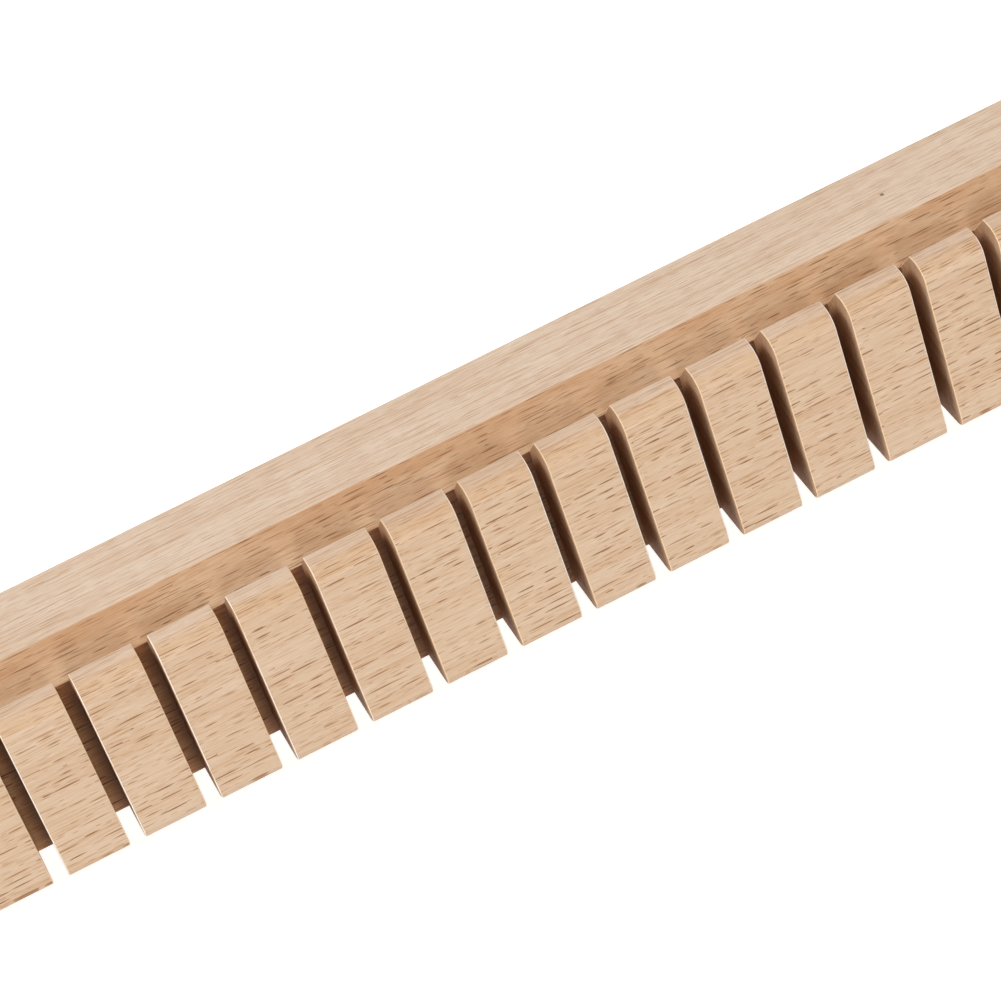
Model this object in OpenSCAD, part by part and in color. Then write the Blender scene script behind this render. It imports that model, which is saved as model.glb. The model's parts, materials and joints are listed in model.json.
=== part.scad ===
// Beech tapestry loom: two toothed warp beams clamped on a slotted frame, with a
// turning heddle bar and a fold-out stand. It is drawn lying flat on a table.
// All lengths are in millimetres. X runs across the warp, Y along the warp and
// Z up. The origin is on the table, under the middle of the loom.

/* [Warp beams] */
// Distance from one tooth to the next
tooth_pitch = 10; // [8:0.5:12]
// Number of teeth on each beam, always odd
tooth_count = 49; // [31:2:55]
// Width of the saw cut between two teeth
cut_w = 1.95; // [1.2:0.05:3]
// Depth of the saw cuts, from the toothed face
cut_d = 7.25; // [5.5:0.25:9]
// Height of a beam
beam_h = 25.2; // [20:0.1:32]
// Depth of a beam, from the toothed face to its back
beam_d = 23.2; // [21:0.1:32]
// Flat crest of a tooth, from the toothed face to the yarn groove
crest_w = 3.5; // [2.6:0.1:5]
// Width of the right-angled yarn groove behind the teeth
groove_w = 8; // [5:0.5:9]
// Rounding along the upper edge of the teeth
crest_round = 2.2; // [0.5:0.1:2.5]
// Rounding along the lower edge of the teeth
heel_round = 1.7; // [0.5:0.1:2.5]
// Wood left between the last saw cut and the side rail
side_land = 13; // [8:1:25]

/* [Frame] */
// Length of the side rails
rail_len = 700; // [640:10:800]
// Width of the side rails
rail_w = 42; // [36:1:50]
// Thickness of the side rails
rail_t = 22; // [20:1:30]
// Rounding of the rails' corners, seen from above
rail_corner = 5; // [1:0.5:8]
// Depth of the stretchers, along the warp
stretcher_d = 22; // [20:1:26]
// Height of the stretchers
stretcher_h = 18; // [16:0.5:20]
// Distance from the front end of the rails to the front stretcher
front_set = 34; // [32:1:50]
// Distance from the back end of the rails to the rear stretcher
rear_set = 14; // [10:1:20]
// Width of the stub tenons
tenon_w = 14; // [12:0.5:16]
// Height of the stub tenons
tenon_h = 10; // [9:0.5:12]
// Length of the stub tenons
tenon_len = 12; // [8:0.5:14]

/* [Back beam travel] */
// Length of the clamping slots in the rails
slot_len = 171; // [120:1:180]
// Wood between a slot and the rear stretcher's bolt
slot_land = 14; // [10:1:20]
// Distance from the slot's back end to the back beam's bolts
back_rest = 26; // [8:1:60]

/* [Heddle bar] */
// Distance from the stand's pivot to the heddle bar's axis
heddle_set = 50; // [44:1:80]
// Thickness of the square heddle bar
heddle_s = 28; // [24:0.5:30]
// Rounding of the heddle bar's long edges
heddle_round = 3; // [1:0.5:5]
// Width of the notches in the heddle bar
notch_w = 3; // [2:0.5:5]
// Depth of the notches in the heddle bar
notch_d = 9; // [6:0.5:10]
// Diameter of the turned journals
journal_d = 16; // [12:1:18]
// Thickness of the bearing posts
post_t = 22; // [18:1:26]
// Width of the bearing posts at their foot
post_w = 46; // [44:1:56]
// Wood around the bearing
post_wall = 10; // [8:0.5:12]
// Diameter of the turning knobs
knob_d = 32; // [26:1:36]
// Length of the turning knobs
knob_len = 28; // [22:1:36]

/* [Stand] */
// Distance from the front end of the rails' slots to the stand's pivot
pivot_set = 30; // [24:1:36]
// Room between the tip of a folded leg and the front stretcher
leg_front_gap = 9; // [4:1:40]
// Width of a stand leg
leg_w = 20; // [16:0.5:20]
// Thickness of a stand leg
leg_t = 18; // [14:0.5:22]
// Distance from the pivot to the stand's cross bar
brace_set = 220; // [180:1:224]
// Diameter of the stand's cross bar
brace_d = 14; // [10:0.5:15]

/* [Fasteners] */
// Thread diameter of the bolts
bolt_d = 6; // [5:0.5:6]
// Length of the beams' carriage bolts under the head
beam_bolt_len = 61; // [60:1:64]
// Diameter of a carriage bolt's head
head_d = 16; // [13:0.5:17]
// Height of a carriage bolt's head
head_h = 3.6; // [3:0.1:4.5]
// Length of a carriage bolt's square neck
neck_len = 4; // [3:0.5:5]
// Outer diameter of the washers
washer_d = 11; // [10:0.5:12]
// Thickness of the washers
washer_t = 1.6; // [1:0.1:2]
// Span of the wing nuts, tip to tip
wing_span = 31; // [26:0.5:33]
// Height of the wing nuts
wing_h = 15.5; // [13:0.5:17]
// Diameter of a wing nut's base
wing_base_d = 12; // [11:0.5:13]
// Height of a wing nut's base
wing_base_h = 8; // [6:0.5:9]
// Thickness of the wings
wing_t = 2.6; // [2:0.1:3.2]
// Diameter of the barrel nuts
barrel_d = 10; // [9:0.5:11]
// Length of the barrel nuts
barrel_len = 14; // [12:0.5:15]
// Distance from the end of a stretcher to its barrel nut
barrel_set = 22; // [16:1:30]

/* [Feet] */
// Height of the rubber feet
foot_h = 10; // [8:0.5:14]
// Diameter of the rubber feet
foot_d = 20; // [17:0.5:22]
// Place of the front feet behind the front ends of the rails
front_foot_set = 65; // [62:1:90]
// Place of the rear feet in front of the back ends of the rails
rear_foot_set = 12; // [11:0.5:12.5]

/* [Hidden] */

$fn = 48;
cut_over = 1;
arc_steps = 6;

// Colours of the finishes
beech = [0.84, 0.71, 0.59];
beech_dark = [0.78, 0.64, 0.5];
zinc = [0.74, 0.76, 0.78];
black_rubber = [0.12, 0.12, 0.13];

// Clearances: a piece in its hole, a shaft that turns, two faces that rub
hole_gap = 0.25;
glue_gap = 0.05;
run_gap = 0.05;
journal_gap = 0.08;
rub_gap = 0.1;
end_float = 0.5;
slot_gap = 0.3;

// Places across the loom, on the +X side
rail_in = tooth_count * tooth_pitch / 2 + side_land;
rail_x = rail_in + rail_w / 2;
rail_out = rail_in + rail_w;

// Heights
rail_z = foot_h + rail_t / 2;
rail_top = foot_h + rail_t;
warp_z = rail_top + beam_h;

// Places along the loom
front_y = -rail_len / 2;
back_y = rail_len / 2;
strip_w = beam_d - crest_w - groove_w;
beam_bolt_y = beam_d - strip_w / 2;
front_bolt_y = front_y + beam_bolt_y;
front_stretcher_y = front_y + front_set + stretcher_d / 2;
rear_stretcher_y = back_y - rear_set - stretcher_d / 2;
slot_back_y = rear_stretcher_y - slot_land;
slot_front_y = slot_back_y - slot_len;
back_bolt_y = slot_back_y - back_rest;
pivot_y = slot_front_y - pivot_set;
heddle_y = pivot_y - heddle_set;
leg_len = pivot_y - front_stretcher_y - stretcher_d / 2 - leg_front_gap;
front_foot_y = front_y + front_foot_set;
rear_foot_y = back_y - rear_foot_set;

// Sizes that follow the bolts
bolt_r = bolt_d / 2;
bolt_hole_r = bolt_r + hole_gap;
slot_w = bolt_d + 2 * slot_gap;
neck_hole_w = bolt_d + 2 * glue_gap;
bolt_past_nut = 6;
stretcher_bolt_len = rail_w + barrel_set + bolt_past_nut;
cap_d = 15;
cap_h = 2;
socket_d = 4.6;
socket_depth = 1.4;
wing_tip_r = 5.3;
wing_root = 2;
wing_base_taper = 1;
wing_foot_z = 1.6;
wing_shoulder = 0.4;
wing_arc_from = -50;
wing_arc_to = 150;

// Heddle bar: a lowered thread rests on a notch's floor at the height of the warp
heddle_z = warp_z - heddle_s / 2 + notch_d;
post_in = rail_x - post_t / 2;
post_out = rail_x + post_t / 2;
bearing_r = journal_d / 2 + journal_gap;
post_top_r = bearing_r + post_wall;
journal_len = 12;
post_screw_edge = 9;
post_screw_y = post_w / 2 - post_screw_edge;
post_heel = 6;
post_tuck = 10;
post_screw_len = 38;
post_screw_r = 2.2;
post_screw_head_r = 4.2;
post_screw_head_h = 2.6;
knob_neck_d = 20;
knob_collar_d = 24;
knob_collar_h = 3;
knob_neck_z = 6;
knob_rim = 5.5;
knob_band = 2;
knob_screw_r = 1.8;
knob_screw_head_r = 3.6;
knob_screw_head_h = 2.2;
knob_screw_len = 24;
knob_sink = 3.2;

// Stand: washer, leg, washer and wing nut on a bolt through each rail
leg_out = rail_in - washer_t - rub_gap;
leg_in = leg_out - leg_t;
inner_washer_x = leg_in - rub_gap - washer_t;
stand_nut_x = inner_washer_x - rub_gap;
bolt_past_wing_nut = 3;
pivot_bolt_len = rail_out - stand_nut_x + wing_base_h + bolt_past_wing_nut;
leg_tip_round = 6;
brace_end_set = 3;

// Feet
foot_taper = 1.6;
foot_top_d = foot_d - foot_taper;
foot_hole_r = 2.3;
foot_recess_r = 5;
foot_recess_h = 5;
foot_screw_r = 2;
foot_screw_head_r = 3.9;
foot_screw_head_h = 2.4;
foot_screw_bite = 7;

// Points on an arc from angle a to angle b
function arc(cx, cy, r, a, b, steps = arc_steps) = [
    for (i = [0:steps])
        let (t = a + (b - a) * i / steps)
            [cx + r * cos(t), cy + r * sin(t)]
];

// Outline of a rectangle with rounded corners, centred
function round_rect(w, h, r) = concat(
    arc(w / 2 - r, h / 2 - r, r, 0, 90),
    arc(-w / 2 + r, h / 2 - r, r, 90, 180),
    arc(-w / 2 + r, -h / 2 + r, r, 180, 270),
    arc(w / 2 - r, -h / 2 + r, r, 270, 360)
);

// Outline of a slot with round ends, along Y, from y0 to y1
function slot_outline(w, y0, y1) = concat(
    arc(0, y1 - w / 2, w / 2, 0, 180, 2 * arc_steps),
    arc(0, y0 + w / 2, w / 2, 180, 360, 2 * arc_steps)
);

// Section of a toothed beam: x is the distance from the toothed face, y the height
function beam_outline() = concat(
    arc(heel_round, heel_round, heel_round, 180, 270),
    [[beam_d, 0], [beam_d, beam_h]],
    [[crest_w + groove_w, beam_h], [crest_w + groove_w / 2, beam_h - groove_w / 2]],
    [[crest_w, beam_h]],
    arc(crest_round, beam_h - crest_round, crest_round, 90, 180)
);

// An outline drawn in Y and Z, extruded along X from x0 over a length
module along_x(x0, length) {
    translate([x0, 0, 0])
        rotate([90, 0, 90])
            linear_extrude(length)
                children();
}

// A cylinder along X from x0 over a length
module rod_x(x0, length, r) {
    translate([x0, 0, 0])
        rotate([0, 90, 0])
            cylinder(h = length, r = r);
}

// The same piece on the left, mirrored from the right
module on_side(side) {
    mirror([side < 0 ? 1 : 0, 0, 0])
        children();
}

module on_both_sides() {
    for (side = [-1, 1])
        on_side(side)
            children();
}

// Carriage bolt standing on +Z: domed head under z = 0, square neck above it
module carriage_bolt(length) {
    sphere_r = (head_d * head_d / 4 + head_h * head_h) / (2 * head_h);
    union() {
        intersection() {
            translate([0, 0, sphere_r - head_h])
                sphere(r = sphere_r);
            translate([0, 0, -head_h])
                cylinder(h = head_h, r = head_d / 2);
        }
        translate([-bolt_r, -bolt_r, 0])
            cube([bolt_d, bolt_d, neck_len]);
        cylinder(h = length, r = bolt_r);
    }
}

// Washer lying on z = 0
module washer() {
    difference() {
        cylinder(h = washer_t, r = washer_d / 2);
        translate([0, 0, -cut_over])
            cylinder(h = washer_t + 2 * cut_over, r = bolt_r + hole_gap - glue_gap);
    }
}

// Wing nut standing on z = 0, its wings along X
module wing_nut() {
    tip_x = wing_span / 2 - wing_tip_r;
    tip_z = wing_h - wing_tip_r;
    root_x = wing_base_d / 2 - wing_root;
    color(zinc)
        difference() {
            union() {
                cylinder(h = wing_base_h, r1 = wing_base_d / 2, r2 = wing_base_d / 2 - wing_base_taper);
                for (side = [0, 180])
                    rotate([90, 0, side])
                        linear_extrude(wing_t, center = true)
                            polygon(concat(
                                [[root_x, wing_foot_z]],
                                arc(tip_x, tip_z, wing_tip_r, wing_arc_from, wing_arc_to, 2 * arc_steps),
                                [[root_x, wing_base_h - wing_shoulder]]
                            ));
            }
            translate([0, 0, -cut_over])
                cylinder(h = wing_h, r = bolt_r + run_gap);
        }
}

// Side rail on the +X side
module rail() {
    color(beech)
        difference() {
            translate([rail_x, 0, foot_h])
                linear_extrude(rail_t)
                    polygon(round_rect(rail_w, rail_len, rail_corner));
            // slot in which the back beam's bolts slide
            translate([rail_x, 0, foot_h - cut_over])
                linear_extrude(rail_t + 2 * cut_over)
                    polygon(slot_outline(slot_w, slot_front_y, slot_back_y));
            // hole and square seat of the front beam's bolt
            translate([rail_x, front_bolt_y, foot_h - cut_over])
                cylinder(h = rail_t + 2 * cut_over, r = bolt_hole_r);
            translate([rail_x - neck_hole_w / 2, front_bolt_y - neck_hole_w / 2, foot_h - cut_over])
                cube([neck_hole_w, neck_hole_w, neck_len + cut_over + glue_gap]);
            // hole and square seat of the stand's pivot bolt
            translate([0, pivot_y, rail_z])
                rod_x(rail_in - cut_over, rail_w + 2 * cut_over, bolt_hole_r);
            translate([rail_out - neck_len - glue_gap, pivot_y - neck_hole_w / 2, rail_z - neck_hole_w / 2])
                cube([neck_len + cut_over, neck_hole_w, neck_hole_w]);
            // mortises and bolt holes of the stretchers
            for (y = [front_stretcher_y, rear_stretcher_y])
                translate([0, y, rail_z]) {
                    rod_x(rail_in - cut_over, rail_w + 2 * cut_over, bolt_hole_r);
                    translate([rail_in - cut_over, -tenon_w / 2 - glue_gap, -tenon_h / 2 - glue_gap])
                        cube([tenon_len + cut_over + glue_gap, tenon_w + 2 * glue_gap, tenon_h + 2 * glue_gap]);
                }
            // countersunk holes of the bearing post's screws
            for (dy = [-post_screw_y, post_screw_y])
                translate([rail_x, heddle_y + dy, foot_h])
                    post_screw_hole();
            // pilot holes of the feet
            for (y = [front_foot_y, rear_foot_y])
                translate([rail_x, y, foot_h - cut_over])
                    cylinder(h = foot_screw_bite + cut_over + glue_gap, r = foot_screw_r + glue_gap);
        }
}

module left_rail() {
    on_side(-1)
        rail();
}

module right_rail() {
    rail();
}

// Stretcher between the rails, at the height of their middle
module stretcher(y) {
    color(beech)
        translate([0, y, rail_z])
            difference() {
                union() {
                    translate([-rail_in, -stretcher_d / 2, -stretcher_h / 2])
                        cube([2 * rail_in, stretcher_d, stretcher_h]);
                    translate([-rail_in - tenon_len, -tenon_w / 2, -tenon_h / 2])
                        cube([2 * (rail_in + tenon_len), tenon_w, tenon_h]);
                }
                on_both_sides() {
                    rod_x(rail_out - stretcher_bolt_len - glue_gap, stretcher_bolt_len, bolt_hole_r);
                    translate([rail_in - barrel_set, 0, -stretcher_h / 2 - cut_over])
                        cylinder(h = stretcher_h / 2 + barrel_len / 2 + cut_over, r = barrel_d / 2 + glue_gap);
                }
            }
}

module front_stretcher() {
    stretcher(front_stretcher_y);
}

module rear_stretcher() {
    stretcher(rear_stretcher_y);
}

// Flat-headed bolts with a six-sided socket, from outside into the stretchers
module stretcher_bolts() {
    color(zinc)
        on_both_sides()
            for (y = [front_stretcher_y, rear_stretcher_y])
                translate([0, y, rail_z])
                    difference() {
                        union() {
                            rod_x(rail_out, cap_h, cap_d / 2);
                            rod_x(rail_out - stretcher_bolt_len, stretcher_bolt_len + cap_h / 2, bolt_r);
                        }
                        translate([rail_out + cap_h - socket_depth, 0, 0])
                            rotate([0, 90, 0])
                                cylinder(h = socket_depth + cut_over, r = socket_d / 2, $fn = 6);
                    }
}

// Cross nuts in the stretchers that the bolts screw into
module barrel_nuts() {
    color(zinc)
        on_both_sides()
            for (y = [front_stretcher_y, rear_stretcher_y])
                translate([rail_in - barrel_set, y, rail_z])
                    difference() {
                        translate([0, 0, -barrel_len / 2])
                            cylinder(h = barrel_len, r = barrel_d / 2);
                        rod_x(-barrel_d, 2 * barrel_d, bolt_r + run_gap);
                    }
}

// Toothed beam: the toothed face is at y = 0, the back at y = beam_d, the foot at z = 0
module toothed_beam() {
    color(beech)
        difference() {
            along_x(-rail_out, 2 * rail_out)
                polygon(beam_outline());
            for (i = [0:tooth_count])
                translate([(i - tooth_count / 2) * tooth_pitch - cut_w / 2, -cut_over, -cut_over])
                    cube([cut_w, cut_d + cut_over, beam_h + 2 * cut_over]);
            for (x = [-rail_x, rail_x])
                translate([x, beam_bolt_y, -cut_over])
                    cylinder(h = beam_h + 2 * cut_over, r = bolt_hole_r);
        }
}

module front_beam() {
    translate([0, front_y, rail_top])
        toothed_beam();
}

module back_beam() {
    translate([0, back_bolt_y + beam_bolt_y, rail_top + rub_gap])
        mirror([0, 1, 0])
            toothed_beam();
}

module front_beam_bolts() {
    color(zinc)
        for (x = [-rail_x, rail_x])
            translate([x, front_bolt_y, foot_h])
                carriage_bolt(beam_bolt_len);
}

module back_beam_bolts() {
    color(zinc)
        for (x = [-rail_x, rail_x])
            translate([x, back_bolt_y, foot_h - rub_gap])
                carriage_bolt(beam_bolt_len);
}

module front_beam_washers() {
    color(zinc)
        for (x = [-rail_x, rail_x])
            translate([x, front_bolt_y, warp_z])
                washer();
}

module back_beam_washers() {
    color(zinc)
        for (x = [-rail_x, rail_x])
            translate([x, back_bolt_y, warp_z + rub_gap])
                washer();
}

module front_wing_nut(side) {
    translate([side * rail_x, front_bolt_y, warp_z + washer_t + rub_gap])
        wing_nut();
}

module back_wing_nut(side) {
    translate([side * rail_x, back_bolt_y, warp_z + washer_t + 2 * rub_gap])
        wing_nut();
}

// Square bar with notches for every second thread above, for the others below,
// and round journals at its ends
module heddle_bar() {
    bar_half = post_in - end_float;
    color(beech)
        translate([0, heddle_y, heddle_z])
            difference() {
                union() {
                    along_x(-bar_half, 2 * bar_half)
                        polygon(round_rect(heddle_s, heddle_s, heddle_round));
                    rod_x(-post_out - end_float - journal_len, 2 * (post_out + end_float + journal_len), journal_d / 2);
                }
                for (i = [0:tooth_count])
                    translate([
                        (i - tooth_count / 2) * tooth_pitch - notch_w / 2,
                        -heddle_s / 2 - cut_over,
                        i % 2 == 0 ? heddle_s / 2 - notch_d : -heddle_s / 2 - cut_over
                    ])
                        cube([notch_w, heddle_s + 2 * cut_over, notch_d + cut_over]);
                on_both_sides()
                    rod_x(post_out + end_float + knob_len - knob_sink - knob_screw_len, knob_screw_len, knob_screw_r + glue_gap);
            }
}

// Bearing post on the +X rail: a block with a round head around the bearing
module heddle_post() {
    rise = heddle_z - rail_top;
    color(beech)
        translate([0, heddle_y, rail_top])
            difference() {
                along_x(post_in, post_t)
                    polygon(concat(
                        [[post_w / 2, 0], [post_w / 2, post_heel]],
                        arc(0, rise, post_top_r, -post_tuck, 180 + post_tuck, 4 * arc_steps),
                        [[-post_w / 2, post_heel], [-post_w / 2, 0]]
                    ));
                translate([0, 0, rise])
                    rod_x(post_in - cut_over, post_t + 2 * cut_over, bearing_r);
                for (dy = [-post_screw_y, post_screw_y])
                    translate([rail_x, dy, -rail_t])
                        cylinder(h = post_screw_len + glue_gap, r = post_screw_r + glue_gap);
            }
}

module left_heddle_post() {
    on_side(-1)
        heddle_post();
}

module right_heddle_post() {
    heddle_post();
}

// Room for a countersunk screw that goes up from z = 0
module post_screw_hole() {
    translate([0, 0, -cut_over])
        cylinder(h = rail_t + 2 * cut_over, r = post_screw_r + glue_gap);
    translate([0, 0, -glue_gap])
        cylinder(h = post_screw_head_h + glue_gap, r1 = post_screw_head_r + 2 * glue_gap, r2 = post_screw_r + glue_gap);
}

module heddle_post_screws() {
    color(zinc)
        on_both_sides()
            for (dy = [-post_screw_y, post_screw_y])
                translate([rail_x, heddle_y + dy, foot_h])
                    union() {
                        cylinder(h = post_screw_head_h, r1 = post_screw_head_r, r2 = post_screw_r);
                        cylinder(h = post_screw_len, r = post_screw_r);
                    }
}

// Turned knob on the +X journal, with a recess for its screw
module heddle_knob() {
    color(beech)
        translate([post_out + end_float, heddle_y, heddle_z])
            rotate([0, 90, 0])
                difference() {
                    rotate_extrude()
                        polygon(concat(
                            [[0, 0], [knob_collar_d / 2, 0], [knob_collar_d / 2, knob_collar_h]],
                            [[knob_neck_d / 2, knob_neck_z]],
                            arc(knob_d / 2 - knob_rim, knob_len - knob_rim - knob_band, knob_rim, -45, 0),
                            arc(knob_d / 2 - knob_rim, knob_len - knob_rim, knob_rim, 0, 90),
                            [[0, knob_len]]
                        ));
                    translate([0, 0, -cut_over])
                        cylinder(h = journal_len + cut_over + glue_gap, r = journal_d / 2 + glue_gap);
                    translate([0, 0, journal_len - cut_over])
                        cylinder(h = knob_len, r = knob_screw_r + glue_gap);
                    translate([0, 0, knob_len - knob_sink])
                        cylinder(h = knob_sink + cut_over, r = knob_screw_head_r + glue_gap);
                }
}

module left_heddle_knob() {
    on_side(-1)
        heddle_knob();
}

module right_heddle_knob() {
    heddle_knob();
}

module heddle_knob_screws() {
    seat_x = post_out + end_float + knob_len - knob_sink;
    color(zinc)
        on_both_sides()
            translate([0, heddle_y, heddle_z])
                union() {
                    rod_x(seat_x - knob_screw_len + glue_gap, knob_screw_len, knob_screw_r);
                    rod_x(seat_x, knob_screw_head_h, knob_screw_head_r);
                }
}

// Stand leg on the +X side, folded along the rail, with a round head at the pivot
module stand_leg() {
    color(beech_dark)
        translate([0, pivot_y, rail_z])
            difference() {
                along_x(leg_in, leg_t)
                    polygon(concat(
                        arc(0, 0, leg_w / 2, -90, 90, 2 * arc_steps),
                        arc(-leg_len + leg_tip_round, leg_w / 2 - leg_tip_round, leg_tip_round, 90, 180),
                        arc(-leg_len + leg_tip_round, -leg_w / 2 + leg_tip_round, leg_tip_round, 180, 270)
                    ));
                rod_x(leg_in - cut_over, leg_t + 2 * cut_over, bolt_hole_r);
                translate([0, -brace_set, 0])
                    rod_x(leg_in - cut_over, leg_t - brace_end_set + cut_over + glue_gap, brace_d / 2 + glue_gap);
            }
}

module left_stand_leg() {
    on_side(-1)
        stand_leg();
}

module right_stand_leg() {
    stand_leg();
}

module stand_cross_bar() {
    bar_half = leg_out - brace_end_set;
    color(beech_dark)
        translate([0, pivot_y - brace_set, rail_z])
            rod_x(-bar_half, 2 * bar_half, brace_d / 2);
}

module stand_pivot_bolts() {
    color(zinc)
        on_both_sides()
            translate([rail_out, pivot_y, rail_z])
                rotate([0, -90, 0])
                    carriage_bolt(pivot_bolt_len);
}

module stand_washers() {
    color(zinc)
        on_both_sides()
            for (x = [leg_out + rub_gap, inner_washer_x])
                translate([x, pivot_y, rail_z])
                    rotate([0, 90, 0])
                        washer();
}

module stand_wing_nut(side) {
    on_side(side)
        translate([stand_nut_x, pivot_y, rail_z])
            rotate([0, -90, 0])
                rotate([0, 0, 90])
                    wing_nut();
}

// Rubber feet under the ends of the rails, each with a recess for its screw
module rubber_feet() {
    color(black_rubber)
        on_both_sides()
            for (y = [front_foot_y, rear_foot_y])
                translate([rail_x, y, 0])
                    difference() {
                        cylinder(h = foot_h, r1 = foot_top_d / 2, r2 = foot_d / 2);
                        translate([0, 0, -cut_over])
                            cylinder(h = foot_recess_h + cut_over, r = foot_recess_r);
                        cylinder(h = foot_h + cut_over, r = foot_hole_r);
                    }
}

module foot_screws() {
    color(zinc)
        on_both_sides()
            for (y = [front_foot_y, rear_foot_y])
                translate([rail_x, y, foot_recess_h])
                    union() {
                        translate([0, 0, -foot_screw_head_h])
                            cylinder(h = foot_screw_head_h, r = foot_screw_head_r);
                        translate([0, 0, -foot_screw_head_h / 2])
                            cylinder(
                                h = foot_h - foot_recess_h + foot_screw_bite + foot_screw_head_h / 2,
                                r = foot_screw_r
                            );
                    }
}

left_rail();
right_rail();
front_stretcher();
rear_stretcher();
stretcher_bolts();
barrel_nuts();
front_beam();
back_beam();
front_beam_bolts();
back_beam_bolts();
front_beam_washers();
back_beam_washers();
front_wing_nut(-1);  // front_left_wing_nut
front_wing_nut(1);  // front_right_wing_nut
back_wing_nut(-1);  // back_left_wing_nut
back_wing_nut(1);  // back_right_wing_nut
heddle_bar();
left_heddle_post();
right_heddle_post();
heddle_post_screws();
left_heddle_knob();
right_heddle_knob();
heddle_knob_screws();
left_stand_leg();
right_stand_leg();
stand_cross_bar();
stand_pivot_bolts();
stand_washers();
stand_wing_nut(-1);  // left_stand_wing_nut
stand_wing_nut(1);  // right_stand_wing_nut
rubber_feet();
foot_screws();
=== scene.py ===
"""The looks of a beech tapestry loom: two toothed warp beams clamped on a slotted frame,
a turning heddle bar and a fold-out stand, lying flat on a pale table.

The view is the photograph's: a close look along the teeth of the front beam.
Lengths are in millimetres up to the helpers that make the meshes, which turn them into metres.
"""

import json
import math

import bmesh
import bpy
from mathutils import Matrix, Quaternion, Vector


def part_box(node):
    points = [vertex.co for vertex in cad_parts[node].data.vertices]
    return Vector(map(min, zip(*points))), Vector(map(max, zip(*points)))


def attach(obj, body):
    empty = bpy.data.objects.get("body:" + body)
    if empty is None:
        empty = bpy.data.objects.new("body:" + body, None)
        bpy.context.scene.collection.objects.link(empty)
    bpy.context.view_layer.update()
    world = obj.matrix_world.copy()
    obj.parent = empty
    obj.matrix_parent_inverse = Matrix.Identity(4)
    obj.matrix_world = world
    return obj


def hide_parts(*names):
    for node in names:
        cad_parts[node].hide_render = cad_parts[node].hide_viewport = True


MM = 0.001

# The photograph's camera, in metres and degrees
PHOTO_EYE = Vector((-0.06327, -0.70555, 0.34167))
PHOTO_AIM = Vector((-0.00056, -0.35000, 0.05447))
PHOTO_ROLL = -20.23
PHOTO_LENS = 143.35
SENSOR_WIDTH = 36.0

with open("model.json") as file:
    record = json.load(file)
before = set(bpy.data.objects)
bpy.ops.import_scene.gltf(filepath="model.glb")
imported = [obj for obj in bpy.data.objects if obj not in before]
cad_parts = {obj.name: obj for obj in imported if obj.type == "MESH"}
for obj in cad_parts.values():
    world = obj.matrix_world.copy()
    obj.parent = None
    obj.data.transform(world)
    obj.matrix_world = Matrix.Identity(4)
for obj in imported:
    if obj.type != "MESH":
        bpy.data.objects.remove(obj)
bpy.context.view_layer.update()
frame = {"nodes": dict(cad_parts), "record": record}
body_of = {node: body for body, nodes in frame["record"]["behaviour"]["bodies"].items() for node in nodes}


def low(node):
    """The low corner of a node's box, in millimetres."""
    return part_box(node)[0] / MM


def high(node):
    """The high corner of a node's box, in millimetres."""
    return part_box(node)[1] / MM


def middle(node):
    """The middle of a node's box, in millimetres."""
    return (low(node) + high(node)) / 2


def span(node):
    """The size of a node's box, in millimetres."""
    return high(node) - low(node)


# Which way along X each side of the loom lies
SIDES = {"left": -1.0, "right": 1.0}

# Places shared by several pieces, in millimetres, read from the frame
RAIL_X = middle("right_rail").x
RAIL_OUT = high("right_rail").x
RAIL_FOOT = low("right_rail").z
RAIL_Z = middle("right_rail").z
HEDDLE = middle("heddle_bar")
BEAM_TOP = high("front_beam").z

# Sizes of a toothed beam, in millimetres: its groove starts behind the crest, and the row of saw
# cuts ends a little short of ROW_END on both sides of the middle
CREST = 3.5
GROOVE_WIDTH = 8.0
GROOVE_DEPTH = GROOVE_WIDTH / 2
TOOTH_PITCH = 10.0
ROW_END = 250.0


# Camera

def camera():
    bpy.ops.object.camera_add(location=PHOTO_EYE)
    made = bpy.context.object
    made.name = "photo_camera"
    made.data.lens = PHOTO_LENS
    made.data.sensor_width = SENSOR_WIDTH
    made.data.clip_start = 0.01
    made.data.clip_end = 50.0
    level = (PHOTO_AIM - PHOTO_EYE).to_track_quat("-Z", "Y")
    made.rotation_mode = "QUATERNION"
    made.rotation_quaternion = level @ Quaternion((0.0, 0.0, 1.0), math.radians(PHOTO_ROLL))
    bpy.context.scene.camera = made


# Shaders

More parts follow.
